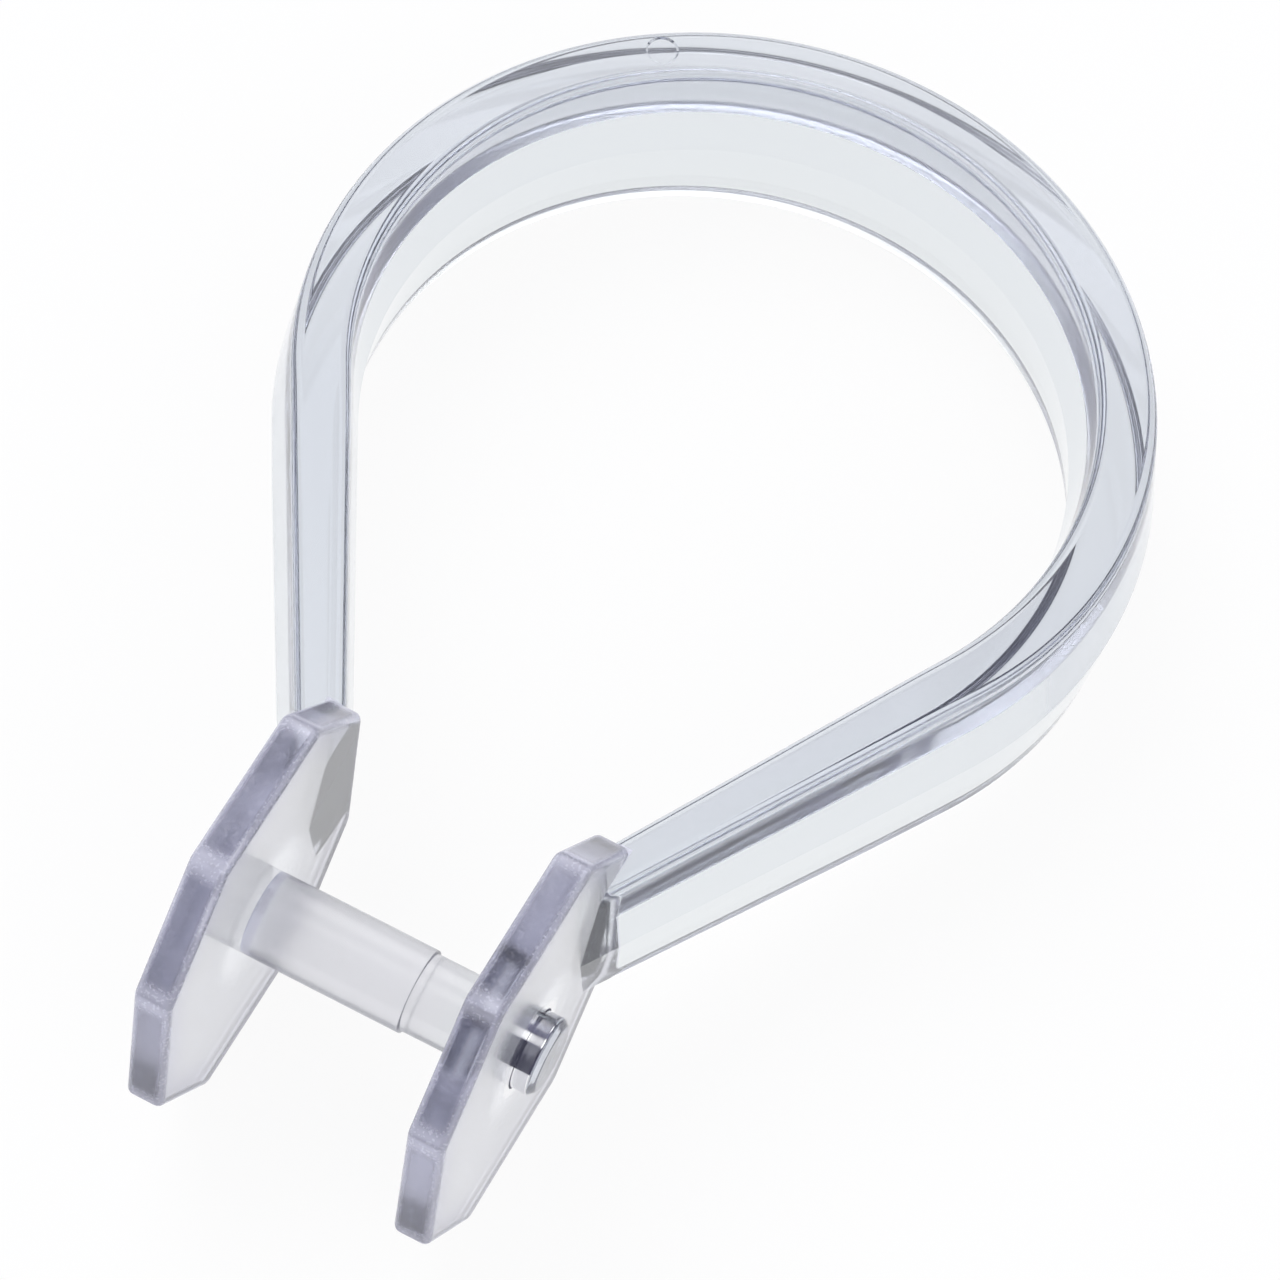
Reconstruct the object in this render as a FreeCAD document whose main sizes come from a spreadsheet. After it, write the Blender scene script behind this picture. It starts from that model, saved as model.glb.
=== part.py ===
"""Curtain ring of clear plastic, moulded in one piece.

A drafted band runs round the curtain rod and its two legs draw together to a pair of
eight-sided plates. A peg on one plate crosses the gap and passes through a hole in the other,
and carries the eyelet of the curtain.

Frame: the origin is the centre of the round part, at half the height of the band. The ring
lies on its side: +Y points from the peg to the top of the ring, +X from the plate that
carries the peg to the plate with the hole, and +Z along the rod.
"""

import FreeCAD
import Part
import Sketcher
import math
import os
from FreeCAD import Placement, Rotation, Vector

doc = FreeCAD.newDocument("curtain_ring")

# Driving dimensions, in millimetres and degrees

SIZES = (
    ("inner_radius", 18.0, "rod opening, measured at the parting line"),
    ("band_height", 11.0, "along the rod"),
    ("band_thickness", 4.4, "at the parting line of the round part"),
    ("draft_angle", 7.5, "slope of the walls away from the parting line"),
    ("band_edge_radius", 0.6, "rounding of the long edges"),
    ("leg_angle", 28.0, "each leg against the middle plane"),
    ("leg_end_height", 8.8, "along the rod, at the end of a leg"),
    ("leg_end_thickness", 3.4, "at the parting line, at the end of a leg"),
    ("plate_gap", 12.6, "between the facing sides of the plates"),
    ("plate_thickness", 2.0, "of each plate"),
    ("plate_depth", 19.0, "across the front and back flats"),
    ("plate_height", 21.0, "across the top and bottom flats"),
    ("plate_top_flat", 9.1, "length of the top and bottom flats"),
    ("plate_back_flat", 9.6, "length of the front and back flats"),
    ("plate_overhang", 0.55, "of the plates behind the inner sides of the legs"),
    ("plate_corner_radius", 0.5, "rounding of the eight corners of a plate"),
    ("plate_bevel", 0.25, "all round both faces of a plate"),
    ("peg_diameter", 4.4, "part that carries the eyelet"),
    ("peg_length", 8.6, "part that carries the eyelet, from its plate to the step"),
    ("neck_diameter", 4.1, "part that passes through the hole"),
    ("neck_clearance", 0.1, "between the neck and the hole, all round"),
    ("tip_reach", 1.2, "of the neck past the plate with the hole"),
    ("tip_bevel", 0.3, "at the free end of the neck"),
    ("mark_diameter", 1.6, "ejector pin mark on the top face"),
    ("mark_depth", 0.1, "ejector pin mark"),
    ("mark_turn", 36.5, "ejector pin mark, turned from the top of the ring"),
)

# Sizes that follow from others: a leg's side meets the facing side of its plate where its
# distance from the middle plane has come down from that of the round part to half the gap

DERIVED_SIZES = (
    (
        "leg_length",
        "=((inner_radius + leg_end_thickness) * cos(leg_angle * 1 deg) - plate_gap / 2)"
        " / sin(leg_angle * 1 deg)",
        "from the end of the round part to where the outer side meets the plate",
    ),
    (
        "leg_inner_run",
        "=(inner_radius * cos(leg_angle * 1 deg) - plate_gap / 2) / sin(leg_angle * 1 deg)",
        "from the end of the round part to where the inner side meets the plate",
    ),
    (
        "peg_distance",
        "=inner_radius * sin(leg_angle * 1 deg) + leg_inner_run * cos(leg_angle * 1 deg)"
        " - plate_overhang + plate_depth / 2",
        "from the centre of the round part",
    ),
)

sheet = doc.addObject("Spreadsheet::Sheet", "sizes")
for row, (alias, value, note) in enumerate(SIZES + DERIVED_SIZES, start=1):
    sheet.set(f"A{row}", alias)
    sheet.set(f"B{row}", str(value))
    sheet.set(f"C{row}", note)
    sheet.setAlias(f"B{row}", alias)
doc.recompute()

# Places that follow from the driving dimensions, as expressions on the sheet

HALF_GAP = "sizes.plate_gap / 2"
HALF_TURN = "(90 + sizes.leg_angle)"
BACK_EDGE = "(sizes.peg_distance - sizes.plate_depth / 2)"
OUTER_FACE = "(sizes.plate_gap / 2 + sizes.plate_thickness)"


def size(alias):
    """Value of one driving dimension."""
    return float(sheet.get(alias))


def bind(thing, **expressions):
    """Bind properties to expressions; a double underscore stands for a dot."""
    for name, expression in expressions.items():
        thing.setExpression(name.replace("__", "."), expression)


def new_body(name):
    """Empty body."""
    return doc.addObject("PartDesign::Body", name)


def origin_plane(body, role):
    """One of the three planes of the body's own origin."""
    for feature in body.Origin.OriginFeatures:
        if feature.Role == role:
            return feature
    raise ValueError(role)


def new_sketch(body, name, role):
    """Empty sketch on a plane of the body's own origin."""
    sketch = body.newObject("Sketcher::SketchObject", name)
    sketch.AttachmentSupport = (origin_plane(body, role), [""])
    sketch.MapMode = "FlatFace"
    return sketch


def pin(sketch, direction, geometry, point, expression, positive=True):
    """Hold a sketch point at a distance from the sketch's origin, along X or Y."""
    ends = (-1, 1, geometry, point) if positive else (geometry, point, -1, 1)
    place = sketch.getPoint(geometry, point)
    value = abs(place.x if direction == "X" else place.y)
    index = sketch.addConstraint(Sketcher.Constraint("Distance" + direction, *ends, value))
    sketch.setExpression(f"Constraints[{index}]", expression)


def outline(sketch, corners):
    """Closed run of straight lines; each corner is (x, y, x expression, y expression)."""
    count = len(corners)
    for index, corner in enumerate(corners):
        following = corners[(index + 1) % count]
        ends = Vector(corner[0], corner[1]), Vector(following[0], following[1])
        sketch.addGeometry(Part.LineSegment(*ends), False)
    for index in range(count):
        joint = Sketcher.Constraint("Coincident", index, 2, (index + 1) % count, 1)
        sketch.addConstraint(joint)
    for index, (x, y, x_expression, y_expression) in enumerate(corners):
        pin(sketch, "X", index, 1, x_expression, x >= 0)
        pin(sketch, "Y", index, 1, y_expression, y >= 0)


def band_section(sketch, height, thickness):
    """Section of the band: drafted walls that meet at the parting line, rounded edges.

    X is the distance from the middle of the ring, Y the height over the parting line. The
    walls lean in by the draft angle above and below, and each edge is an arc tangent to its
    wall and to the flat.
    """
    radius = size("band_edge_radius")
    inner = size("inner_radius")
    outer = inner + size(thickness)
    half = size(height) / 2
    slope = math.tan(math.radians(size("draft_angle")))
    slant = math.hypot(1, slope)
    reach = (half - radius) * slope + radius * slant

    def arc(side, level):
        """Arc of one edge, turning anticlockwise."""
        middle = Vector(outer - reach if side > 0 else inner + reach, level * (half - radius))
        to_wall = Vector(side, level * slope) * (radius / slant)
        to_flat = Vector(0, level * radius)
        first, last = (to_wall, to_flat) if side * level > 0 else (to_flat, to_wall)
        mid_way = (first + last).normalize() * radius
        return Part.Arc(middle + first, middle + mid_way, middle + last)

    arcs = [arc(1, 1), arc(-1, 1), arc(-1, -1), arc(1, -1)]
    ends = [(a.StartPoint, a.EndPoint) for a in arcs]
    parting = Vector(outer, 0), Vector(inner, 0)
    run = (
        Part.LineSegment(parting[0], ends[0][0]), arcs[0],
        Part.LineSegment(ends[0][1], ends[1][0]), arcs[1],
        Part.LineSegment(ends[1][1], parting[1]),
        Part.LineSegment(parting[1], ends[2][0]), arcs[2],
        Part.LineSegment(ends[2][1], ends[3][0]), arcs[3],
        Part.LineSegment(ends[3][1], parting[0]),
    )
    for piece in run:
        sketch.addGeometry(piece, False)
    for index in range(len(run)):
        following = (index + 1) % len(run)
        kind = "Coincident" if index in (4, 9) else "Tangent"
        sketch.addConstraint(Sketcher.Constraint(kind, index, 2, following, 1))
    for wall, expression in (
        (0, "90 + sizes.draft_angle"),
        (4, "-90 - sizes.draft_angle"),
        (5, "-90 + sizes.draft_angle"),
        (9, "90 - sizes.draft_angle"),
    ):
        direction = run[wall].EndPoint - run[wall].StartPoint
        lean = math.atan2(direction.y, direction.x)
        index = sketch.addConstraint(Sketcher.Constraint("Angle", wall, lean))
        sketch.setExpression(f"Constraints[{index}]", expression)
    index = sketch.addConstraint(Sketcher.Constraint("Radius", 1, radius))
    sketch.setExpression(f"Constraints[{index}]", "sizes.band_edge_radius")
    for other in (3, 6, 8):
        sketch.addConstraint(Sketcher.Constraint("Equal", 1, other))
    sketch.addConstraint(Sketcher.Constraint("Horizontal", 2))
    sketch.addConstraint(Sketcher.Constraint("Horizontal", 7))
    sketch.addConstraint(Sketcher.Constraint("PointOnObject", 0, 1, -1))
    sketch.addConstraint(Sketcher.Constraint("PointOnObject", 4, 2, -1))
    pin(sketch, "X", 0, 1, f"sizes.inner_radius + sizes.{thickness}")
    pin(sketch, "X", 4, 2, "sizes.inner_radius")
    pin(sketch, "Y", 2, 1, f"sizes.{height} / 2")
    pin(sketch, "Y", 7, 1, f"sizes.{height} / 2", positive=False)


def make_band():
    """Round part and both legs, which taper towards the plates."""
    body = new_body("band")
    section = new_sketch(body, "round_section", "YZ_Plane")
    band_section(section, "band_height", "band_thickness")
    doc.recompute()

    round_part = body.newObject("PartDesign::Revolution", "round_part")
    round_part.Profile = section
    round_part.ReferenceAxis = (section, ["V_Axis"])
    round_part.Midplane = True
    bind(round_part, Angle=f"2 * {HALF_TURN}")
    doc.recompute()

    root = new_sketch(body, "leg_root", "YZ_Plane")
    band_section(root, "band_height", "band_thickness")
    end = new_sketch(body, "leg_end", "YZ_Plane")
    band_section(end, "leg_end_height", "leg_end_thickness")
    for sketch in (root, end):
        sketch.AttachmentOffset = Placement(Vector(), Rotation(Vector(0, 1, 0), -90))
        bind(sketch, AttachmentOffset__Rotation__Angle=f"-{HALF_TURN}")
    bind(
        end,
        AttachmentOffset__Base__x="-sizes.leg_length * cos(sizes.leg_angle * 1 deg)",
        AttachmentOffset__Base__z="-sizes.leg_length * sin(sizes.leg_angle * 1 deg)",
    )
    doc.recompute()

    leg = body.newObject("PartDesign::AdditiveLoft", "leg")
    leg.Profile = root
    leg.Sections = [end]
    leg.Ruled = True
    doc.recompute()

    both_legs = body.newObject("PartDesign::Mirrored", "both_legs")
    both_legs.Originals = [leg]
    both_legs.MirrorPlane = (origin_plane(body, "YZ_Plane"), [""])
    body.Tip = both_legs
    doc.recompute()
    return body


def edge_names(feature, crosswise):
    """Edges of a plate that cross its thickness, or else those that lie in its two faces."""
    edges = enumerate(feature.Shape.Edges, start=1)
    return [f"Edge{index}" for index, edge in edges if (edge.BoundBox.XLength > 1e-6) == crosswise]


def make_plate():
    """Plate with the hole, on the side of +X: a prism with eight sides, rounded and bevelled."""
    body = new_body("plate")
    sketch = new_sketch(body, "plate_outline", "YZ_Plane")
    bind(sketch, AttachmentOffset__Base__z=HALF_GAP)
    middle = size("peg_distance")
    y_far = size("plate_depth") / 2
    y_near = size("plate_top_flat") / 2
    z_far = size("plate_height") / 2
    z_near = size("plate_back_flat") / 2
    around = (
        (1, y_near, z_far), (-1, y_near, z_far), (-1, y_far, z_near), (-1, y_far, -z_near),
        (-1, y_near, -z_far), (1, y_near, -z_far), (1, y_far, -z_near), (1, y_far, z_near),
    )
    corners = []
    for side, along, up in around:
        depth = "plate_top_flat" if along == y_near else "plate_depth"
        height = "plate_height" if abs(up) == z_far else "plate_back_flat"
        sign = "-" if side > 0 else "+"
        corners.append((
            side * along - middle, up,
            f"sizes.peg_distance {sign} sizes.{depth} / 2", f"sizes.{height} / 2",
        ))
    outline(sketch, corners)
    doc.recompute()

    slab = body.newObject("PartDesign::Pad", "plate_slab")
    slab.Profile = sketch
    bind(slab, Length="sizes.plate_thickness")
    doc.recompute()

    rounded = body.newObject("PartDesign::Fillet", "plate_corners")
    rounded.Base = (slab, edge_names(slab, True))
    bind(rounded, Radius="sizes.plate_corner_radius")
    doc.recompute()

    bevelled = body.newObject("PartDesign::Chamfer", "plate_bevels")
    bevelled.Base = (rounded, edge_names(rounded, False))
    bind(bevelled, Size="sizes.plate_bevel")
    body.Tip = bevelled
    doc.recompute()
    return body


def make_peg():
    """Peg in one turning: the part that carries the eyelet, the step, the neck and its tip."""
    body = new_body("peg")
    sketch = new_sketch(body, "peg_profile", "XY_Plane")
    bind(sketch, AttachmentOffset__Base__y="-sizes.peg_distance")
    half_gap = size("plate_gap") / 2
    root = half_gap + size("plate_thickness") / 2
    step = size("peg_length") - half_gap
    tip = half_gap + size("plate_thickness") + size("tip_reach")
    wide = size("peg_diameter") / 2
    thin = size("neck_diameter") / 2
    bevel = size("tip_bevel")
    at_root = f"{HALF_GAP} + sizes.plate_thickness / 2"
    at_step = f"sizes.peg_length - {HALF_GAP}"
    at_tip = f"{OUTER_FACE} + sizes.tip_reach"
    outline(sketch, (
        (-root, 0, at_root, "0"),
        (tip, 0, at_tip, "0"),
        (tip, thin - bevel, at_tip, "sizes.neck_diameter / 2 - sizes.tip_bevel"),
        (tip - bevel, thin, f"{at_tip} - sizes.tip_bevel", "sizes.neck_diameter / 2"),
        (step, thin, at_step, "sizes.neck_diameter / 2"),
        (step, wide, at_step, "sizes.peg_diameter / 2"),
        (-root, wide, at_root, "sizes.peg_diameter / 2"),
    ))
    doc.recompute()

    turned = body.newObject("PartDesign::Revolution", "peg_turning")
    turned.Profile = sketch
    turned.ReferenceAxis = (sketch, ["H_Axis"])
    turned.Angle = 360
    body.Tip = turned
    doc.recompute()
    return body


def cut(name, base, tool):
    """One solid less another."""
    result = doc.addObject("Part::Cut", name)
    result.Base = base
    result.Tool = tool
    doc.recompute()
    return result


def make_ring():
    """The whole ring, as it comes out of the mould and is snapped shut."""
    band = make_band()
    plate = make_plate()
    peg = make_peg()

    # Nothing but the peg stands between the plates: the legs end flush with their faces
    gap = doc.addObject("Part::Box", "gap_space")
    bind(
        gap,
        Length="sizes.plate_gap",
        Width="sizes.plate_depth",
        Height="sizes.plate_height",
        Placement__Base__x=f"-{HALF_GAP}",
        Placement__Base__y=f"-{BACK_EDGE} - sizes.plate_depth",
        Placement__Base__z="-sizes.plate_height / 2",
    )
    trimmed = cut("trimmed_band", band, gap)

    # Hole for the neck
    hole = doc.addObject("Part::Cylinder", "neck_hole")
    hole.Placement = Placement(Vector(), Rotation(Vector(0, 1, 0), 90))
    bind(
        hole,
        Radius="sizes.neck_diameter / 2 + sizes.neck_clearance",
        Height=f"2 * {OUTER_FACE}",
        Placement__Base__y="-sizes.peg_distance",
    )
    drilled = cut("drilled_plate", plate, hole)

    # Plate that carries the peg
    plain_plate = doc.addObject("Part::Mirroring", "plain_plate")
    plain_plate.Source = plate
    plain_plate.Normal = Vector(1, 0, 0)
    doc.recompute()

    joined = doc.addObject("Part::MultiFuse", "joined")
    joined.Shapes = [trimmed, drilled, plain_plate, peg]
    joined.Refine = True
    doc.recompute()

    # Shallow round mark of an ejector pin, on the top face close to the top of the ring
    mark = doc.addObject("Part::Cylinder", "pin_mark")
    radial = "(sizes.inner_radius + sizes.band_thickness / 2)"
    bind(
        mark,
        Radius="sizes.mark_diameter / 2",
        Height="2 * sizes.mark_depth",
        Placement__Base__x=f"-{radial} * sin(sizes.mark_turn * 1 deg)",
        Placement__Base__y=f"{radial} * cos(sizes.mark_turn * 1 deg)",
        Placement__Base__z="sizes.band_height / 2 - sizes.mark_depth",
    )
    return cut("curtain_ring", joined, mark)


ring = make_ring()
ring.Label = "curtain_ring"
doc.recompute()

# Nothing is written unless every object is sound

for item in doc.Objects:
    if "Invalid" in item.State or "Error" in item.State:
        raise RuntimeError(f"{item.Name} failed: {item.State}")
shape = ring.Shape
if shape.isNull() or not shape.isValid():
    raise RuntimeError("the ring is not a sound solid")
if len(shape.Solids) != 1:
    raise RuntimeError(f"the ring has {len(shape.Solids)} solids, not one")

os.makedirs("parts", exist_ok=True)
shape.exportStep(os.path.join("parts", ring.Label + ".step"))
box = shape.BoundBox
print(ring.Label, f"{shape.Volume:.1f} cubic mm,", f"{box.XLength:.2f} x {box.YLength:.2f} x {box.ZLength:.2f} mm")
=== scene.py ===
"""Looks of a curtain ring of clear plastic, moulded in one piece.

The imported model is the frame. One finished piece stands for it: a drafted band that runs round
the curtain rod, two legs that draw together, a pair of eight-sided plates, and a peg that
crosses the gap between them and passes through a hole in one.
"""

import math

import bmesh
import bpy
import numpy as np
from bpy.props import FloatProperty, FloatVectorProperty, PointerProperty
from mathutils import Matrix, Vector


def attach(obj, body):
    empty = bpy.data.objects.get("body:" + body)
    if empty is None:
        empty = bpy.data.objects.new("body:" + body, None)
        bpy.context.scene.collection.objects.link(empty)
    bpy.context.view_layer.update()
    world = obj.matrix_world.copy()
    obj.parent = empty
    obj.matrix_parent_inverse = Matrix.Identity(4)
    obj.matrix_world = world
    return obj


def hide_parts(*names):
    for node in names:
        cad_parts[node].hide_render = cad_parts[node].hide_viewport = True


bl_info = {
    "name": "Curtain ring",
    "version": (1, 0, 0),
    "blender": (4, 5, 0),
    "location": "3D View > Sidebar > Curtain ring",
    "description": "Builds the visible ring of clear plastic over the packed model, and its stage",
    "category": "Object",
}

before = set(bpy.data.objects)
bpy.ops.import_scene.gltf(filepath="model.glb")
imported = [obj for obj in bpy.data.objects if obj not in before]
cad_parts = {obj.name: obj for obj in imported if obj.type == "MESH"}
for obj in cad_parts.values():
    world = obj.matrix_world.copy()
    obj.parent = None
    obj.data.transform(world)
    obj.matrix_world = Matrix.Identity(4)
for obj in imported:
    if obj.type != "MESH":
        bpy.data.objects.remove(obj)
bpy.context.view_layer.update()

MM = 0.001
RING_NODE = "curtain_ring"

# Points on each arc of an outline, and the distance of the points beside its ends
ARC_POINTS = 9
LEAD = 0.05 * MM
# Last outline of a plate's flat face, and the smallest corner radius of the outlines
FACE_INSET = 1.2 * MM
SMALLEST_RADIUS = 0.01 * MM
# Small caps that close a turned surface at its axis
CAP_RADIUS = 0.02 * MM
# Turns between faces past this angle stay sharp
SHARP_TURN = math.radians(28)
# Share of a leg over which its taper starts
TAPER_EASE = 0.25

# Waves to the metre of the flow and of the specks, and the height of the flow
FLOW_SCALE = 170.0
FLOW_STRENGTH = 0.15
FLOW_HEIGHT = 0.02 * MM
GRAIN_SCALE = 7000.0
# Shares of dull milk, which on the plates' rounded edges is a painted highlight, and of mirror at the
# neck's free end
BEVEL_HIGHLIGHT_MILK = 0.30
SPECK_MILK = 0.11
FROST_MILK = 0.12
MIRROR_SHARE = 0.92
# Roughness that the thin sides of the plates have on top of that of the plates
RIM_ROUGHNESS = 0.05

# The floor reaches this far from the origin in metres, in this many steps across. It lies this
# far under the ring, and this share of it looks white wherever it is seen
FLOOR_REACH = 1.5
FLOOR_STEPS = 12
FLOOR_DISTANCE = 0.02 * MM
FLOOR_GLOW = 0.93
# Soft lamps: name, place in metres and power in watts
LAMPS = (
    ("key_light", (-0.5, 0.2, 0.9), 6.0),
    ("fill_light", (0.7, -0.5, 0.7), 2.7),
)
LAMP_WIDTH = 0.7
# Soft panels of the studio: azimuth and elevation of their middle in degrees, cosine at their
# edge and at their full strength, and the brightness that they add to the base light
BASE_LIGHT = 0.06
PANELS = (
    (112.0, 37.0, 0.92, 0.97, 1.7),
    (98.0, 57.0, 0.89, 0.96, 0.22),
    (215.0, 46.0, 0.90, 0.96, 1.0),
    (0.0, 90.0, 0.95, 0.985, 1.5),
)
# Light of the studio on dull surfaces, the colour of its dark parts, and the brightness at
# which it is white
DULL_LIGHT = 0.6
DARK_COLOUR = (0.62, 0.62, 1.0)
WHITE = (1.0, 1.0, 1.0)
WHITE_LIGHT = 0.9
# Bounces that a path of light needs on its way through the plastic
CLEAR_BOUNCES = 16
MIRROR_BOUNCES = 10


# Sizes and colours


def length(name, description, millimetres):
    """Length property of the panel, with its default in millimetres."""
    return FloatProperty(name=name, description=description, default=millimetres * MM,
                         min=0, unit="LENGTH", precision=5)


def turn(name, description, degrees):
    """Angle property of the panel, with its default in degrees."""
    return FloatProperty(name=name, description=description, default=math.radians(degrees),
                         unit="ROTATION")


def factor(name, description, value):
    """Property of the panel that goes from 0 to 1."""
    return FloatProperty(name=name, description=description, default=value, min=0, max=1,
                         subtype="FACTOR")


def colour(name, description, *rgb):
    """Colour property of the panel."""
    return FloatVectorProperty(name=name, description=description, default=rgb, size=3,
                               min=0, max=1, subtype="COLOR")


class RingSizes(bpy.types.PropertyGroup):
    """Lengths and angles of the ring."""

    inner_radius: length("Inner radius", "Rod opening, at the parting line", 18.0)
    band_height: length("Band height", "Along the rod", 11.0)
    band_thickness: length("Band thickness", "At the parting line of the round part", 4.4)
    draft: turn("Draft", "Slope of the walls away from the parting line", 7.5)
    edge_radius: length("Edge radius", "Rounding of the long edges", 0.6)
    ridge_radius: length("Ridge radius", "Rounding of the parting line", 0.3)
    leg_angle: turn("Leg angle", "Each leg against the middle plane", 28.0)
    leg_end_height: length("Leg end height", "Along the rod, at the end of a leg", 8.8)
    leg_end_thickness: length("Leg end thickness", "At the end of a leg", 3.4)
    plate_gap: length("Plate gap", "Between the facing sides of the plates", 12.6)
    plate_thickness: length("Plate thickness", "Of each plate", 2.0)
    plate_depth: length("Plate depth", "Across the front and back flats", 19.0)
    plate_height: length("Plate height", "Across the top and bottom flats", 21.0)
    plate_top_flat: length("Top flat", "Length of the top and bottom flats", 9.1)
    plate_back_flat: length("Back flat", "Length of the front and back flats", 9.6)
    plate_overhang: length("Plate overhang", "Of the plates behind the inner sides of the legs", 0.55)
    plate_corner_radius: length("Plate corner radius", "Rounding of the eight corners", 0.8)
    plate_edge_radius: length("Plate edge radius", "Rounding all round both faces", 0.42)
    peg_diameter: length("Peg diameter", "Part that carries the eyelet", 4.4)
    peg_length: length("Peg length", "From its plate to the step", 8.6)
    neck_diameter: length("Neck diameter", "Part that passes through the hole", 4.1)
    neck_clearance: length("Neck clearance", "Between the neck and the hole", 0.1)
    tip_reach: length("Tip reach", "Of the neck past the plate with the hole", 1.2)
    tip_bevel: length("Tip bevel", "At the free end of the neck", 0.3)
    mark_diameter: length("Mark diameter", "Ejector pin mark on the top face", 1.6)
    mark_depth: length("Mark depth", "Ejector pin mark", 0.1)
    mark_turn: turn("Mark turn", "Ejector pin mark, from the middle plane", 36.5)
    mark_offset: length("Mark offset", "Ejector pin mark, from the middle of the band", 0.2)


class RingLook(bpy.types.PropertyGroup):
    """Colours and finishes of the clear plastic."""

    surface_tint: colour("Surface tint", "Colour of light that passes the surface", 0.88, 0.912, 0.913)
    # Painted shade: the rim tint darkens the flats of the thin sides, partly for their depth of
    # plastic and partly as painted shade
    rim_depth_and_shade_tint: colour("Rim tint", "The same for the thin sides of the plates", 0.44, 0.44, 0.53)
    rim_pale_tint: colour("Pale rim tint", "Where the thin sides look pale", 0.76, 0.76, 0.88)
    plate_tint: colour("Plate tint", "The same for the faces of the plates", 0.93, 0.94, 0.965)
    # Painted shade: the plate edge tint darkens the faces of the plates towards their outline
    plate_edge_shade_tint: colour("Plate edge tint", "Near the outline of the faces", 0.76, 0.76, 0.87)
    depth_tint: colour("Depth tint", "Colour kept by light that goes deep", 0.25, 0.30, 0.60)
    depth_strength: FloatProperty(name="Depth strength", default=20.0, min=0,
                                  description="Absorption for each metre of plastic")
    # Painted shade: a dark line round the flats of the thin sides of the plates
    outline_shade_tint: colour("Outline tint", "Line round the flats of the thin sides", 0.22, 0.215, 0.30)
    mirror_tint: colour("Mirror tint", "Free end of the neck, which mirrors", 0.90, 0.90, 0.92)
    # Milk colour: a painted highlight on the rounded edges of the plates, and the colour of specks and
    # of the frosted peg
    milk_and_highlight: colour("Milk", "Colour of worn edges and specks", 0.88, 0.88, 0.97)
    haze: factor("Haze", "Share of light that the surface scatters", 0.04)
    polish: factor("Polish", "Roughness of the moulded faces", 0.025)
    plate_polish: factor("Plate polish", "Roughness of the plates", 0.17)
    frost: factor("Frost", "Roughness of the part that carries the eyelet", 0.24)
    ior: FloatProperty(name="Refraction", description="Index of refraction", default=1.58, min=1)


class RingStage(bpy.types.PropertyGroup):
    """Floor and camera."""

    floor_colour: colour("Floor", "Colour of the floor", 0.9, 0.9, 0.9)
    camera_place: FloatVectorProperty(name="Camera", description="Where the camera stands", size=3,
                                      default=(0.0620, -0.1894, 0.2969), subtype="TRANSLATION")
    azimuth: turn("Azimuth", "Camera round the vertical", 18.664)
    elevation: turn("Elevation", "Camera over the level", 57.822)
    roll: turn("Roll", "Camera about its own line of sight", 10.505)
    lens: FloatProperty(name="Lens", description="Focal length in millimetres on a 36 mm width",
                        default=199.4, min=1, unit="CAMERA")
    floor_tilt: turn("Floor tilt", "The ring lies on its plates and the back of its band", 5.45)


# Surfaces


def leg_run(size, from_middle):
    """Way along a leg to its plate, for a side that starts at from_middle on the round part."""
    return (from_middle * math.cos(size.leg_angle) - size.plate_gap / 2) / math.sin(size.leg_angle)


def leg_length(size):
    """The legs run on until their outer side meets the facing side of the plate."""
    return leg_run(size, size.inner_radius + size.leg_end_thickness)


def peg_distance(size):
    """Distance of the peg from the centre of the round part, in the middle of the plates."""
    meeting = (size.inner_radius * math.sin(size.leg_angle)
               + leg_run(size, size.inner_radius) * math.cos(size.leg_angle))
    return meeting - size.plate_overhang + size.plate_depth / 2


def rounded_loop(centres, radii, spans):
    """Closed outlines made of arcs and the straight runs that join them.

    Arc k of outline s has its centre at centres[s, k], radius radii[k], and goes from angle
    spans[k, 0] to spans[k, 1] in even steps. On each straight run stand two more points, at
    the lead distance from its ends, and one half way, which keep the shading of the flats flat.
    """
    share = np.linspace(0, 1, ARC_POINTS)
    angle = spans[:, :1] + (spans[:, 1:] - spans[:, :1]) * share
    circle = np.stack((np.cos(angle), np.sin(angle)), -1) * radii[:, None, None]
    arcs = centres[:, :, None, :] + circle[None]
    start = arcs[:, :, -1]
    run = np.roll(arcs[:, :, 0], -1, axis=1) - start
    step = np.minimum(LEAD / np.maximum(np.linalg.norm(run, axis=-1), 1e-9), 0.3)
    along = np.stack((step, np.full_like(step, 0.5), 1 - step), -1)
    between = start[:, :, None, :] + run[:, :, None, :] * along[..., None]
    points = np.concatenate((arcs, between), axis=2)
    return points.reshape(len(centres), -1, 2)


def band_section(size, height, thickness):
    """Outlines of the band at each place along it: distance from the middle, height.

    Two drafted walls lean in above and below the parting line, where an arc rounds the ridge;
    an arc of the edge radius joins each wall to the flat.
    """
    slope = math.tan(size.draft)
    slant = math.hypot(1, slope)
    edge = size.edge_radius
    half = height / 2
    inner = np.full_like(height, size.inner_radius)
    outer = inner + thickness
    reach = (half - edge) * slope + edge * slant
    ridge = size.ridge_radius * slant
    level = np.zeros_like(height)
    centres = np.stack([
        np.stack((outer - ridge, level), -1),
        np.stack((outer - reach, half - edge), -1),
        np.stack((inner + reach, half - edge), -1),
        np.stack((inner + ridge, level), -1),
        np.stack((inner + reach, edge - half), -1),
        np.stack((outer - reach, edge - half), -1),
    ], axis=1)
    radii = np.array([size.ridge_radius, edge, edge, size.ridge_radius, edge, edge])
    lean, right, flat = size.draft, math.pi / 2, math.pi
    spans = np.array([
        (-lean, lean), (lean, right), (right, flat - lean),
        (flat - lean, flat + lean), (flat + lean, 3 * right), (3 * right, 2 * flat - lean),
    ])
    return rounded_loop(centres, radii, spans)


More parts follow.
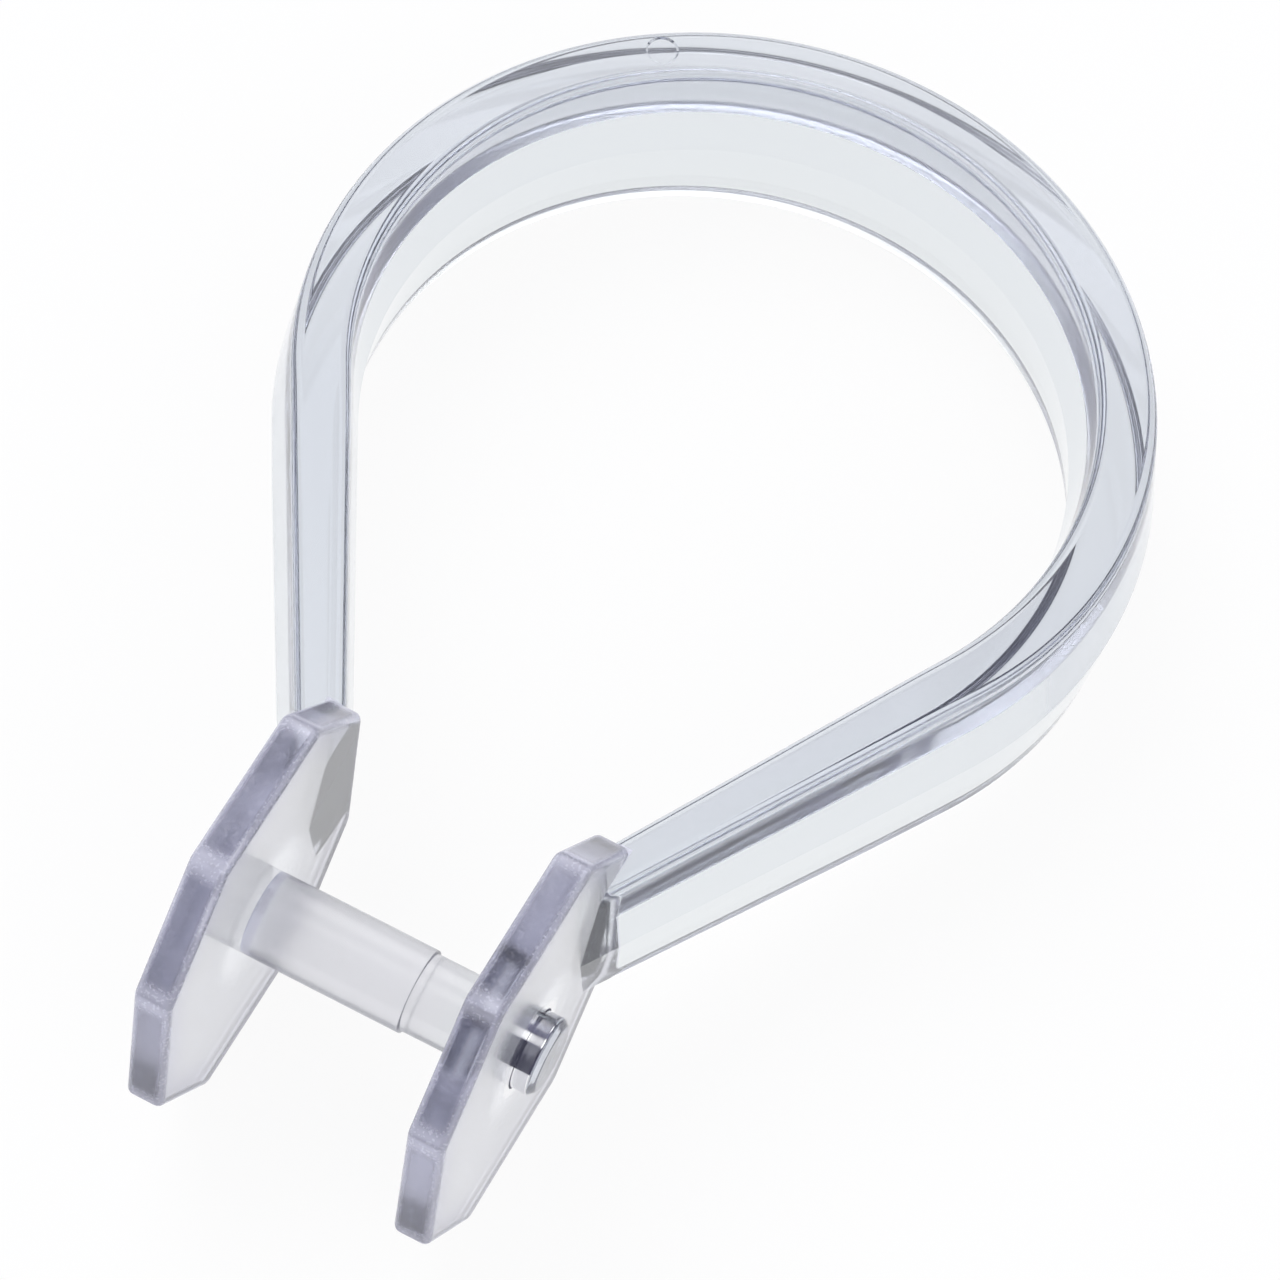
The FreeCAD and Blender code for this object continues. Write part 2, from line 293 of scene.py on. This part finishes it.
def tube_faces(count, around):
    """Quads of a closed tube: count outlines of around points each."""
    row, column = np.meshgrid(np.arange(count - 1), np.arange(around), indexing="ij")
    here = row * around + column
    beside = row * around + (column + 1) % around
    return np.stack((here, beside, beside + around, here + around), -1).reshape(-1, 4)


def tube(points):
    """Vertices and faces of a tube through outlines points[s, k], with a flat cap at each end."""
    count, around = points.shape[:2]
    quads = tube_faces(count, around).tolist()
    first = list(range(around))[::-1]
    last = list(range((count - 1) * around, count * around))
    return points.reshape(-1, 3), quads + [first, last]


def band_surface(size, round_steps=360, leg_steps=24):
    """Band and both legs: the section carried along an arc and its two tangents.

    A point is the path's own offset, plus the section's distance along the outward direction
    there, plus the section's height along the rod. The legs keep the direction of the arc's
    ends. Height and thickness draw in along them, and a parabola eases the start of it, which
    reaches as far back into the arc as forward into the leg.
    """
    half_turn = math.pi / 2 + size.leg_angle
    angle = np.linspace(-half_turn, half_turn, round_steps + 1)
    leg = np.linspace(0, 1, leg_steps + 1)[1:]
    turn_at = np.concatenate((np.full(leg_steps, -half_turn), angle, np.full(leg_steps, half_turn)))
    along = np.concatenate((-leg[::-1], np.zeros(round_steps + 1), leg))
    before = (half_turn - np.abs(turn_at)) * size.inner_radius / leg_length(size)
    way = np.abs(along) - before
    eased = np.maximum(way + TAPER_EASE, 0) ** 2 / (4 * TAPER_EASE)
    share = np.where(way > TAPER_EASE, way, eased)
    height = size.band_height + (size.leg_end_height - size.band_height) * share
    thickness = size.band_thickness + (size.leg_end_thickness - size.band_thickness) * share
    section = band_section(size, height, thickness)
    outward = np.stack((np.sin(turn_at), np.cos(turn_at)), -1)
    forward = np.stack((np.cos(turn_at), -np.sin(turn_at)), -1)
    offset = forward * (along * leg_length(size))[:, None]
    flat = offset[:, None, :] + outward[:, None, :] * section[..., :1]
    return tube(np.concatenate((flat, section[..., 1:]), -1))


def plate_surface(size, side):
    """Plate with eight sides: a thin prism with rounded corners, rounded all round both faces.

    The outline is the eight-sided figure with an arc at each corner. Outlines follow each other
    over the thickness along a quarter circle, the straight side and a quarter circle, each
    drawn in as far as the circle is; the last ones close in on the flat faces.
    """
    y_far, y_near = size.plate_depth / 2, size.plate_top_flat / 2
    z_far, z_near = size.plate_height / 2, size.plate_back_flat / 2
    corner = np.array([
        (y_far, z_near), (y_near, z_far), (-y_near, z_far), (-y_far, z_near),
        (-y_far, -z_near), (-y_near, -z_far), (y_near, -z_far), (y_far, -z_near),
    ])
    run = np.roll(corner, -1, axis=0) - corner
    normal = np.stack((run[:, 1], -run[:, 0]), -1) / np.linalg.norm(run, axis=-1)[:, None]
    before = np.roll(normal, 1, axis=0)
    middle = (normal + before) / (1 + (normal * before).sum(-1))[:, None]
    start = np.arctan2(before[:, 1], before[:, 0])
    sweep = (np.arctan2(normal[:, 1], normal[:, 0]) - start + math.pi) % (2 * math.pi) - math.pi
    spans = np.stack((start, start + sweep), -1)

    half, edge = size.plate_thickness / 2, size.plate_edge_radius
    roll = np.linspace(0, math.pi / 2, ARC_POINTS)
    inset = np.concatenate(([FACE_INSET, edge + LEAD], edge * (1 - np.sin(roll))))
    across = np.concatenate(([half, half], half - edge * (1 - np.cos(roll))))
    inset = np.concatenate((inset, [0], inset[::-1]))
    across = np.concatenate((-across, [0], across[::-1]))
    centre = corner - middle * size.plate_corner_radius
    loops = np.concatenate([
        rounded_loop((centre - middle * max(0, step - size.plate_corner_radius))[None],
                     np.full(8, max(size.plate_corner_radius - step, SMALLEST_RADIUS)), spans)
        for step in inset
    ])
    x = side * (size.plate_gap / 2 + half) + across
    points = np.concatenate((np.broadcast_to(x[:, None, None], loops.shape[:2] + (1,)), loops), -1)
    points[..., 1] -= peg_distance(size)
    return tube(points)


def turned_surface(profile, y, around=128):
    """Solid turned about a line along X at the given y: profile points are (x, radius).

    A point is its profile's x, with its radius carried round a full circle.
    """
    angle = (np.arange(around) + 0.5) * 2 * math.pi / around
    x = np.broadcast_to(profile[:, :1], (len(profile), around))
    radius = profile[:, 1:]
    points = np.stack((x, y + radius * np.cos(angle), radius * np.sin(angle)), -1)
    return tube(points)


def box_surface(low, high):
    """Vertices and faces of an upright box between two corners."""
    x, y, z = (np.array([low[axis], high[axis]]) for axis in range(3))
    outline = np.array([(x[0], y[0]), (x[1], y[0]), (x[1], y[1]), (x[0], y[1])])
    points = np.stack([np.column_stack((outline, np.full(4, level))) for level in z])
    return tube(points)


def disc_surface(centre, floor, radius, around=48):
    """Upright disc that cuts a flat recess, whose wall flares at half a right angle.

    Its two circles have their middle at centre. The lower one lies at the height floor.
    """
    angle = np.linspace(0, 2 * math.pi, around, endpoint=False)
    circle = np.stack((np.cos(angle), np.sin(angle)), -1)
    points = np.concatenate([
        np.column_stack((np.asarray(centre) + circle * r, np.full(around, floor + up)))[None]
        for r, up in ((radius - 0.05 * MM, 0.0), (radius + 0.25 * MM, 0.3 * MM))
    ])
    return tube(points)


def rounded_profile(corners, radii, steps=6, lead=0.03 * MM):
    """Open profile through corners, each rounded by a curve that touches both its sides.

    The curve of a corner is a parabola from a point before it to a point behind it, at the
    corner's radius from it; a lead point stands beside each of them.
    """
    corners = np.asarray(corners, float)
    points = [corners[:1]]
    share = np.linspace(0, 1, steps)[:, None]
    for before, here, after, radius in zip(corners, corners[1:], corners[2:], radii):
        back = (before - here) / np.linalg.norm(before - here)
        ahead = (after - here) / np.linalg.norm(after - here)
        curve = here + back * radius * (1 - share) ** 2 + ahead * radius * share ** 2
        points += [here + back * (radius + lead), curve, here + ahead * (radius + lead)]
    points.append(corners[-1:])
    return np.concatenate([np.atleast_2d(p) for p in points])


def peg_surface(size):
    """Peg in one turning: the part that carries the eyelet, the step, the neck and its tip."""
    half_gap = size.plate_gap / 2
    root = -half_gap - size.plate_thickness / 2
    step = size.peg_length - half_gap
    tip = half_gap + size.plate_thickness + size.tip_reach
    wide, thin, bevel = size.peg_diameter / 2, size.neck_diameter / 2, size.tip_bevel
    corners = (
        (root, CAP_RADIUS), (root, wide), (step, wide), (step, thin),
        (tip - bevel, thin), (tip, thin - bevel), (tip, CAP_RADIUS),
    )
    radii = np.array([0.05, 0.07, 0.05, 0.12, 0.12]) * MM
    return turned_surface(rounded_profile(corners, radii), -peg_distance(size))


def floor_surface(stage, size):
    """Vertices and faces of the floor: a square grid whose height rises evenly with y.

    It touches the lower edges of the plates at their front and the back of the band, and so
    leans by the floor tilt.
    """
    low = -size.plate_height / 2
    foot = -peg_distance(size) + size.plate_top_flat / 2
    slope = math.tan(stage.floor_tilt)
    share = np.linspace(-1, 1, FLOOR_STEPS + 1)
    x, y = np.meshgrid(share * FLOOR_REACH, share * FLOOR_REACH, indexing="ij")
    z = low - FLOOR_DISTANCE + (y - foot) * slope
    points = np.stack((x, y, z), -1).reshape(-1, 3)
    row, column = np.meshgrid(np.arange(FLOOR_STEPS), np.arange(FLOOR_STEPS), indexing="ij")
    across = FLOOR_STEPS + 1
    corner = row * across + column
    faces = np.stack((corner, corner + across, corner + across + 1, corner + 1), -1)
    return points, faces.reshape(-1, 4)


# Meshes


def new_piece(name, vertices, faces):
    """Mesh object of the given vertices and faces."""
    mesh = bpy.data.meshes.new(name)
    mesh.from_pydata(np.asarray(vertices).tolist(), [], [list(face) for face in faces])
    mesh.validate()
    mesh.update()
    piece = bpy.data.objects.new(name, mesh)
    bpy.context.scene.collection.objects.link(piece)
    return piece


def outward(piece):
    """Recalculate the faces of a closed mesh so that they point outwards."""
    work = bmesh.new()
    work.from_mesh(piece.data)
    bmesh.ops.remove_doubles(work, verts=work.verts, dist=1e-8)
    bmesh.ops.recalc_face_normals(work, faces=work.faces)
    work.to_mesh(piece.data)
    work.free()
    return piece


def settle(piece):
    """Turn the live modifiers of a piece into its mesh."""
    bpy.context.view_layer.update()
    seen = piece.evaluated_get(bpy.context.evaluated_depsgraph_get())
    mesh = bpy.data.meshes.new_from_object(seen)
    old = piece.data
    piece.modifiers.clear()
    piece.data = mesh
    bpy.data.meshes.remove(old)


def join(piece, tool, operation):
    """Join a tool to a piece, or cut it away, and remove the tool."""
    modifier = piece.modifiers.new("join", "BOOLEAN")
    modifier.operation = operation
    modifier.solver = "EXACT"
    modifier.object = tool
    settle(piece)
    mesh = tool.data
    bpy.data.objects.remove(tool)
    bpy.data.meshes.remove(mesh)


def smooth(piece):
    """Smooth shading inside each face, with the normals of its largest parts, and sharp edges."""
    mesh = piece.data
    mesh.polygons.foreach_set("use_smooth", np.ones(len(mesh.polygons), bool))
    mesh.set_sharp_from_angle(angle=SHARP_TURN)
    modifier = piece.modifiers.new("flats", "WEIGHTED_NORMAL")
    modifier.mode = "FACE_AREA"
    modifier.keep_sharp = True
    settle(piece)


# Finishes


class Value:
    """Output of a shader node; arithmetic on it adds Math nodes to its tree."""

    def __init__(self, shader, socket):
        self.shader = shader
        self.socket = socket

    def _math(self, operation, *terms):
        return self.shader.add("ShaderNodeMath", {"operation": operation},
                               {index: term for index, term in enumerate(terms)})["Value"]

    def __add__(self, other):
        return self._math("ADD", self, other)

    __radd__ = __add__

    def __sub__(self, other):
        return self._math("SUBTRACT", self, other)

    def __rsub__(self, other):
        return self._math("SUBTRACT", other, self)

    def __mul__(self, other):
        return self._math("MULTIPLY", self, other)

    __rmul__ = __mul__

    def largest(self, other):
        """The larger of two values."""
        return self._math("MAXIMUM", self, other)

    def smallest(self, other):
        """The smaller of two values."""
        return self._math("MINIMUM", self, other)

    def size(self):
        """The value without its sign."""
        return self._math("ABSOLUTE", self)


class Node:
    """Shader node whose outputs are read by name."""

    def __init__(self, shader, node):
        self.shader = shader
        self.node = node

    def __getitem__(self, name):
        return Value(self.shader, next(s for s in self.node.outputs if s.name == name and s.enabled))


class Shader:
    """Emptied node tree of a material or a world."""

    def __init__(self, owner):
        owner.use_nodes = True
        self.tree = owner.node_tree
        self.tree.nodes.clear()

    def add(self, kind, settings=None, inputs=None):
        """New node: its settings are set first, then the values or links of its sockets."""
        node = self.tree.nodes.new(kind)
        for name, value in (settings or {}).items():
            setattr(node, name, value)
        for name, value in (inputs or {}).items():
            if isinstance(name, int):
                socket = node.inputs[name]
            else:
                socket = next(s for s in node.inputs if s.name == name and s.enabled)
            if isinstance(value, Value):
                self.tree.links.new(value.socket, socket)
            elif isinstance(value, (tuple, list)) and socket.type == "RGBA" and len(value) == 3:
                socket.default_value = (*value, 1)
            else:
                socket.default_value = value
        return Node(self, node)

    def blend(self, share, first, second):
        """Colour between two colours."""
        return self.add("ShaderNodeMix", {"data_type": "RGBA"},
                        {"Factor": share, "A": first, "B": second})["Result"]

    def noise(self, place, scale):
        """Smooth noise of one size, from 0 to 1."""
        return self.add("ShaderNodeTexNoise", {"noise_dimensions": "3D"},
                        {"Vector": place, "Scale": scale, "Detail": 0.0})["Fac"]

    def seen(self):
        """One on rays from the camera and on those that a mirror or glass sends on."""
        path = self.add("ShaderNodeLightPath")
        return (path["Is Camera Ray"].largest(path["Is Glossy Ray"])
                .largest(path["Is Transmission Ray"]))

    def ramp(self, value, low, high, start=0.0, end=1.0):
        """Smooth step of a value from low to high, as a number from start to end."""
        return self.add("ShaderNodeMapRange", {"interpolation_type": "SMOOTHSTEP"}, {
            "Value": value, "From Min": low, "From Max": high, "To Min": start, "To Max": end,
        })["Result"]


def peg_masks(shader, size, x, off_axis):
    """Masks of the frosted part that carries the eyelet, and of the neck's free end.

    Both are ones where the square of the distance from the peg's axis is small, and have
    their own stretch along the axis.
    """
    radius = size.peg_diameter / 2
    near = shader.ramp(off_axis, (radius + 0.2 * MM) ** 2, (radius + 0.6 * MM) ** 2, 1.0, 0.0)
    half_gap = size.plate_gap / 2
    body = (shader.ramp(x, -half_gap, -half_gap + 0.3 * MM)
            * shader.ramp(x, size.peg_length - half_gap, half_gap, 1.0, 0.3)
            * shader.ramp(x, half_gap - 0.1 * MM, half_gap, 1.0, 0.0))
    tip_end = half_gap + size.plate_thickness + size.tip_reach - size.tip_bevel
    tip = (near * shader.ramp(x, half_gap + 0.5 * MM, half_gap + 0.6 * MM)
           * shader.ramp(x, tip_end - 0.08 * MM, tip_end, 1.0, 0.0))
    return near * body, tip


def plate_masks(shader, size, x, across, z):
    """Masks of the plates, of the thin sides and of the flats on these, and the distance beyond.

    The distance beyond the eight-sided outline is the largest of the distances past its back,
    top and slanted sides, and is negative inside. The second largest is small near a corner.
    """
    y_far, y_near = size.plate_depth / 2, size.plate_top_flat / 2
    z_far, z_near = size.plate_height / 2, size.plate_back_flat / 2
    slant = math.hypot(y_far - y_near, z_far - z_near)
    to_y, to_z = (z_far - z_near) / slant, (y_far - y_near) / slant
    back = across.size() - y_far
    top = z.size() - z_far
    skew = across.size() * to_y + z.size() * to_z - (y_far * to_y + z_near * to_z)
    beyond = back.largest(top).largest(skew)
    corner = back.smallest(skew).largest(top.smallest(skew))

    half = size.plate_thickness / 2
    off_middle = (x.size() - (size.plate_gap / 2 + half)).size()
    plate = (shader.ramp(off_middle, half + 0.02 * MM, half + 0.06 * MM, 1.0, 0.0)
             * shader.ramp(beyond, 0.02 * MM, 0.12 * MM, 1.0, 0.0))
    rim = plate * shader.ramp(beyond, -0.20 * MM, -0.04 * MM)
    panel = (shader.ramp(off_middle, half - 0.50 * MM, half - 0.12 * MM, 1.0, 0.0)
             * shader.ramp(corner, -0.95 * MM, -0.25 * MM, 1.0, 0.0))
    return plate, rim, panel, beyond


def clear_plastic(look, size):
    """Clear plastic with slight flow waves, a tint by depth, frosted peg and mirroring neck.

    The flats on the thin sides of the plates get a dark tint, partly for their depth of plastic
    and partly painted shade, with a painted dark outline; their rounded corners and edges stay
    pale. On the plates' rounded edges a share of dull milk is a painted highlight; specks and
    the frosted peg have a share of dull milk of their own.
    """
    material = bpy.data.materials.new("clear_moulded_plastic")
    shader = Shader(material)
    place = shader.add("ShaderNodeTexCoord")["Object"]
    split = shader.add("ShaderNodeSeparateXYZ", None, {"Vector": place})
    x, y, z = split["X"], split["Y"], split["Z"]
    across = y + peg_distance(size)
    off_axis = across * across + z * z
    frosted, tip = peg_masks(shader, size, x, off_axis)
    plate, rim, panel, beyond = plate_masks(shader, size, x, across, z)
    # Painted shade: a dark line where the flats of the thin sides meet their rounded edges
    outline = panel * (1.0 - panel) * 2.0

    # Waves left by the flow of the plastic, and fine specks
    flow = shader.noise(place, FLOW_SCALE)
    grain = shader.noise(place, GRAIN_SCALE)
    bump = shader.add("ShaderNodeBump", None, {
        "Height": flow, "Strength": FLOW_STRENGTH, "Distance": FLOW_HEIGHT,
    })["Normal"]

    # Tints of the moulded faces, of the plates' faces with painted shade near their outline, of their
    # thin sides with painted shade and a painted dark outline, and of the free end
    tint = shader.blend(frosted, tuple(look.surface_tint), WHITE)
    # Painted shade: the plates' faces turn darker and more violet towards their outline
    face = shader.blend(shader.ramp(beyond, -2.6 * MM, -0.2 * MM),
                        tuple(look.plate_tint), tuple(look.plate_edge_shade_tint))
    # Thin sides: a dark tint, partly for the depth of plastic and partly painted shade, paler where
    # the flow noise is high, with a painted dark outline round their flats
    rim_depth_and_shade = shader.blend(shader.ramp(flow, 0.40, 0.62), tuple(look.rim_depth_and_shade_tint),
                        tuple(look.rim_pale_tint))
    rim_depth_and_shade = shader.blend(outline, rim_depth_and_shade, tuple(look.outline_shade_tint))
    tint = shader.blend(plate, tint, face)
    tint = shader.blend(rim * panel.largest(outline), tint, rim_depth_and_shade)
    tint = shader.blend(tip, tint, tuple(look.mirror_tint))

    beside_hole = shader.ramp(off_axis, (2.6 * MM) ** 2, (4.5 * MM) ** 2)
    roughness = (look.polish + plate * beside_hole * (look.plate_polish - look.polish)
                 + rim * RIM_ROUGHNESS + frosted * (look.frost - look.polish))
    clear = shader.add("ShaderNodeBsdfPrincipled", None, {
        "Base Color": tint, "Roughness": roughness, "IOR": look.ior,
        "Metallic": tip * MIRROR_SHARE, "Transmission Weight": 1.0 - look.haze, "Normal": bump,
    })["BSDF"]

    # Painted highlight: dull milk lightens the rounded edges and corners of the plates
    edge = plate * shader.ramp(beyond, -0.75 * MM, 0.0) * (1.0 - panel)
    speck = plate * shader.ramp(grain, 0.58, 0.72)
    milky = edge * BEVEL_HIGHLIGHT_MILK + speck * SPECK_MILK + frosted * FROST_MILK
    milk_and_highlight = shader.add("ShaderNodeBsdfDiffuse", None, {"Color": tuple(look.milk_and_highlight)})["BSDF"]
    surface = shader.add("ShaderNodeMixShader", None, {"Fac": milky, 1: clear, 2: milk_and_highlight})["Shader"]
    depth = shader.add("ShaderNodeVolumeAbsorption", None, {
        "Color": tuple(look.depth_tint), "Density": look.depth_strength,
    })["Volume"]
    shader.add("ShaderNodeOutputMaterial", None, {"Surface": surface, "Volume": depth})
    return material


def floor_finish(stage):
    """Pale dull floor that keeps the ring's shadow and looks white, also through the plastic."""
    material = bpy.data.materials.new("pale_floor")
    shader = Shader(material)
    paper = shader.add("ShaderNodeBsdfDiffuse", None, {"Color": tuple(stage.floor_colour)})["BSDF"]
    glow = shader.add("ShaderNodeEmission", None,
                      {"Color": WHITE, "Strength": 1.0})["Emission"]
    mixed = shader.add("ShaderNodeMixShader", None,
                       {"Fac": shader.seen() * FLOOR_GLOW, 1: paper, 2: glow})["Shader"]
    shader.add("ShaderNodeOutputMaterial", None, {"Surface": mixed})
    return material


def studio_world():
    """Soft studio: an even light on dull surfaces, softly edged panels in the clear plastic."""
    world = bpy.data.worlds.new("studio")
    bpy.context.scene.world = world
    shader = Shader(world)
    toward = shader.add("ShaderNodeTexCoord")["Generated"]
    light = BASE_LIGHT
    for azimuth, elevation, edge, full, change in PANELS:
        a, e = math.radians(azimuth), math.radians(elevation)
        middle = (math.cos(e) * math.cos(a), math.cos(e) * math.sin(a), math.sin(e))
        facing = shader.add("ShaderNodeVectorMath", {"operation": "DOT_PRODUCT"},
                            {0: toward, 1: middle})["Value"]
        light = shader.ramp(facing, edge, full, 0.0, change) + light
    strength = shader.add("ShaderNodeMix", {"data_type": "FLOAT"}, {
        "Factor": shader.seen(), "A": DULL_LIGHT, "B": light,
    })["Result"]
    shade = shader.blend(shader.ramp(strength, BASE_LIGHT, WHITE_LIGHT), DARK_COLOUR, WHITE)
    back = shader.add("ShaderNodeBackground", None, {"Color": shade, "Strength": strength})
    shader.add("ShaderNodeOutputWorld", None, {"Surface": back["Background"]})


# Operators


class RING_OT_build(bpy.types.Operator):
    """Build the ring: band and legs, plates and peg joined in one piece of clear plastic"""

    bl_idname = "curtain_ring.build"
    bl_label = "Ring"

    def execute(self, context):
        size = context.scene.ring_sizes
        ring = outward(new_piece("clear_ring", *band_surface(size)))
        half_gap = size.plate_gap / 2
        peg_y = -peg_distance(size)
        back = peg_y + size.plate_depth / 2

        # The legs run on through the plates and are cut off inside them
        inside = half_gap + size.plate_thickness / 3
        low = (-inside, back - 2 * size.plate_depth, -size.plate_height)
        high = (inside, back - 0.3 * MM, size.plate_height)
        join(ring, new_piece("gap", *box_surface(low, high)), "DIFFERENCE")

        drilled = outward(new_piece("drilled_plate", *plate_surface(size, 1)))
        radius = size.neck_diameter / 2 + size.neck_clearance
        reach = 2 * half_gap
        profile = np.array([(0, CAP_RADIUS), (0, radius), (reach, radius), (reach, CAP_RADIUS)])
        join(drilled, outward(new_piece("hole", *turned_surface(profile, peg_y))), "DIFFERENCE")
        join(ring, drilled, "UNION")
        join(ring, outward(new_piece("plain_plate", *plate_surface(size, -1))), "UNION")
        join(ring, outward(new_piece("peg", *peg_surface(size))), "UNION")

        around = size.inner_radius + size.band_thickness / 2 + size.mark_offset
        centre = (-around * math.sin(size.mark_turn), around * math.cos(size.mark_turn))
        mark = disc_surface(centre, size.band_height / 2 - size.mark_depth, size.mark_diameter / 2)
        join(ring, outward(new_piece("mark", *mark)), "DIFFERENCE")

        smooth(ring)
        ring.data.materials.clear()
        ring.data.materials.append(clear_plastic(context.scene.ring_look, size))
        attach(ring, "root")
        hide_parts(RING_NODE)
        return {"FINISHED"}


class RING_OT_stage(bpy.types.Operator):
    """Set the stage: pale floor, soft studio light and the camera"""

    bl_idname = "curtain_ring.stage"
    bl_label = "Stage"

    def execute(self, context):
        stage = context.scene.ring_stage
        size = context.scene.ring_sizes
        floor = new_piece("floor", *floor_surface(stage, size))
        floor.data.materials.append(floor_finish(stage))
        studio_world()

        for name, place, power in LAMPS:
            lamp = bpy.data.lights.new(name, "AREA")
            lamp.energy = power
            lamp.size = LAMP_WIDTH
            light = bpy.data.objects.new(name, lamp)
            light.location = place
            light.rotation_euler = Vector(place).to_track_quat("Z", "Y").to_euler()
            light.visible_glossy = False
            light.visible_transmission = False
            context.scene.collection.objects.link(light)

        camera = bpy.data.objects.new("camera", bpy.data.cameras.new("camera"))
        camera.data.lens = stage.lens
        camera.data.clip_start = 0.01
        turn_to = (Matrix.Rotation(stage.azimuth, 4, "Z")
                   @ Matrix.Rotation(math.pi / 2 - stage.elevation, 4, "X")
                   @ Matrix.Rotation(stage.roll, 4, "Z"))
        camera.matrix_world = Matrix.Translation(stage.camera_place) @ turn_to
        context.scene.collection.objects.link(camera)
        context.scene.camera = camera
        context.scene.view_settings.view_transform = "Standard"
        paths = context.scene.cycles
        paths.max_bounces = paths.transmission_bounces = CLEAR_BOUNCES
        paths.glossy_bounces = MIRROR_BOUNCES
        return {"FINISHED"}


class RING_PT_panel(bpy.types.Panel):
    """Sidebar panel with the two operators and what they read."""

    bl_idname = "RING_PT_panel"
    bl_label = "Curtain ring"
    bl_space_type = "VIEW_3D"
    bl_region_type = "UI"
    bl_category = "Curtain ring"

    def draw(self, context):
        layout = self.layout
        for operator in (RING_OT_build, RING_OT_stage):
            layout.operator(operator.bl_idname)
        for group in (context.scene.ring_sizes, context.scene.ring_look, context.scene.ring_stage):
            column = layout.column(align=True)
            for name in group.__annotations__:
                column.prop(group, name)


CLASSES = (RingSizes, RingLook, RingStage, RING_OT_build, RING_OT_stage, RING_PT_panel)


def register():
    """Make the classes and the scene's three groups of properties known."""
    for cls in CLASSES:
        bpy.utils.register_class(cls)
    bpy.types.Scene.ring_sizes = PointerProperty(type=RingSizes)
    bpy.types.Scene.ring_look = PointerProperty(type=RingLook)
    bpy.types.Scene.ring_stage = PointerProperty(type=RingStage)


def unregister():
    """Take them out again."""
    for name in ("ring_sizes", "ring_look", "ring_stage"):
        delattr(bpy.types.Scene, name)
    for cls in reversed(CLASSES):
        bpy.utils.unregister_class(cls)


def main():
    """Build the ring and its stage."""
    register()
    bpy.ops.curtain_ring.build()
    bpy.ops.curtain_ring.stage()


if __name__ == "__main__":
    main()
